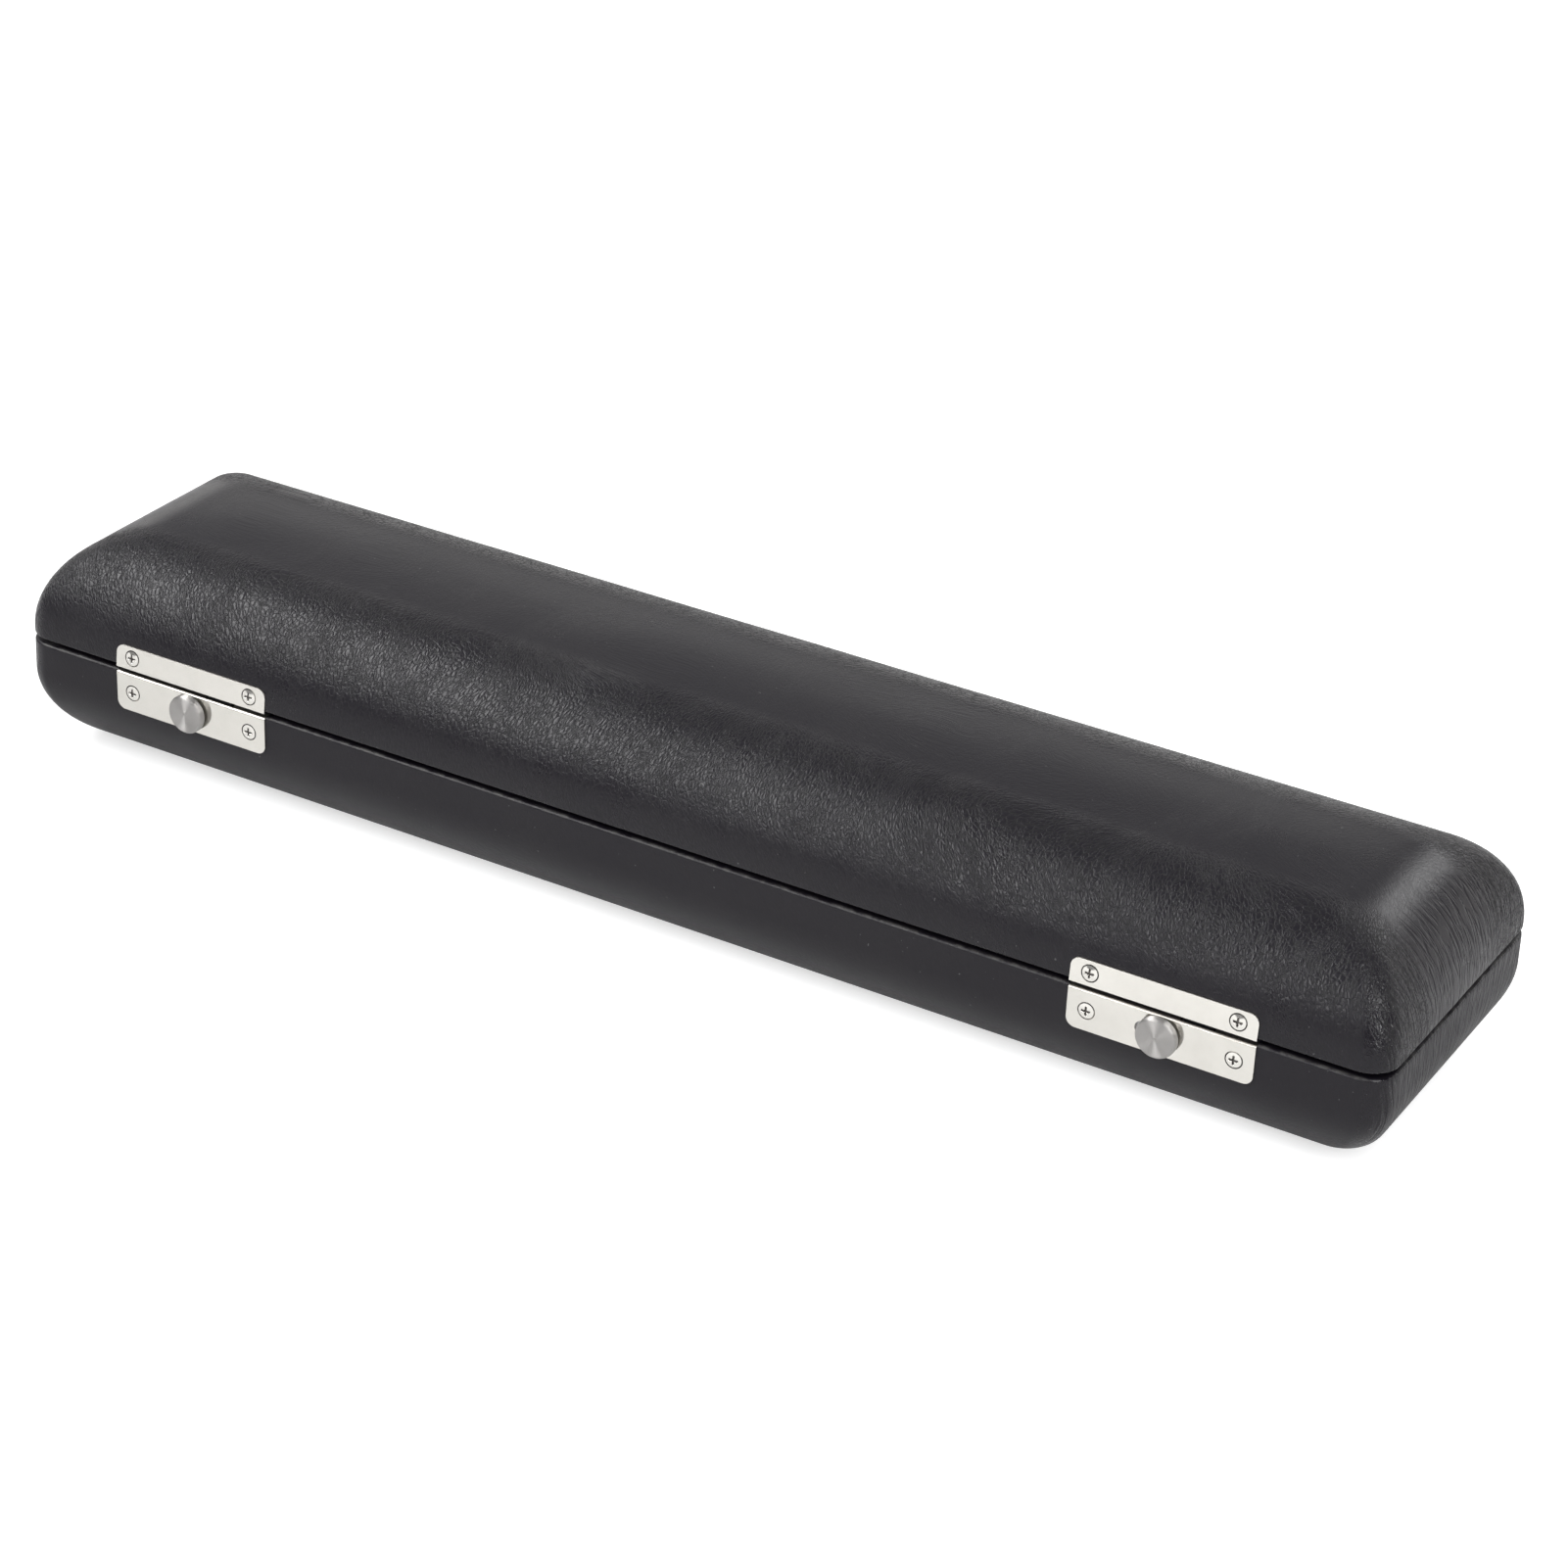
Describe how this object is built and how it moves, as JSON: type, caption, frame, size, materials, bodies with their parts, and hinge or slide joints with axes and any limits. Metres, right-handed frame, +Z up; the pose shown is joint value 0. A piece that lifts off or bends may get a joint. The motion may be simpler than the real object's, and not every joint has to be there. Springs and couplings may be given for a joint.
{
  "type": "flute case",
  "caption": "Long black leatherette instrument case with a domed hinged lid, two sliding-knob nickel latches and a plush interior fitted for a three-joint flute.",
  "frame": {"origin": "centre of the flat underside that the case rests on", "axes": "+X along the case to its right end, +Y towards the hinge side, +Z up"},
  "size_m": [0.4, 0.0976, 0.0599],
  "materials": {
    "wood_shell": "plywood",
    "leatherette": "fine-grained satin black leatherette",
    "plush": "short dark blue pile",
    "lip_cloth": "dark blue cloth over a thin board",
    "foam": "thin foam sheet",
    "insert_board": "pressed fibre",
    "nickel": "polished nickel plate",
    "plain_steel": "plain zinc-plated steel",
    "hinge_nickel": "nickel plate",
    "screw_nickel": "nickel plate"
  },
  "bodies": {
    "base": {"base_shell": "wood_shell", "base_cover": "leatherette", "bottom_panel": "leatherette", "rim_lip": "lip_cloth", "base_insert": "insert_board", "base_lining": "plush", "latch_plate_left": "nickel", "latch_plate_right": "nickel", "latch_housing_left": "plain_steel", "latch_housing_right": "plain_steel", "latch_spring_left": "plain_steel", "latch_spring_right": "plain_steel", "latch_plate_screws": "screw_nickel", "hinge_base_leaf_left": "hinge_nickel", "hinge_base_leaf_right": "hinge_nickel", "hinge_pin_left": "hinge_nickel", "hinge_pin_right": "hinge_nickel", "hinge_base_screws": "screw_nickel"},
    "lid": {"lid_shell": "wood_shell", "lid_cover": "leatherette", "lid_pad": "foam", "lid_lining": "plush", "strike_plate_left": "nickel", "strike_plate_right": "nickel", "keeper_left": "plain_steel", "keeper_right": "plain_steel", "strike_plate_screws": "screw_nickel", "hinge_lid_leaf_left": "hinge_nickel", "hinge_lid_leaf_right": "hinge_nickel", "hinge_lid_screws": "screw_nickel"},
    "latch_bolt_left": {"latch_bolt_left": "plain_steel", "latch_knob_left": "nickel"},
    "latch_bolt_right": {"latch_bolt_right": "plain_steel", "latch_knob_right": "nickel"}
  },
  "joints": [
    {"name": "lid_hinge", "type": "hinge", "parent": "base", "child": "lid", "pos_m": [0, 0.0473, 0.03165], "axis": [-1, 0, 0], "range_deg": [0, 105]},
    {"name": "latch_slide_left", "type": "slide", "parent": "base", "child": "latch_bolt_left", "axis": [-1, 0, 0], "range_m": [0, 0.0045], "stiffness_N_per_m": 300, "deforming": ["latch_spring_left"]},
    {"name": "latch_slide_right", "type": "slide", "parent": "base", "child": "latch_bolt_right", "axis": [-1, 0, 0], "range_m": [0, 0.0045], "stiffness_N_per_m": 300, "deforming": ["latch_spring_right"]}
  ]
}
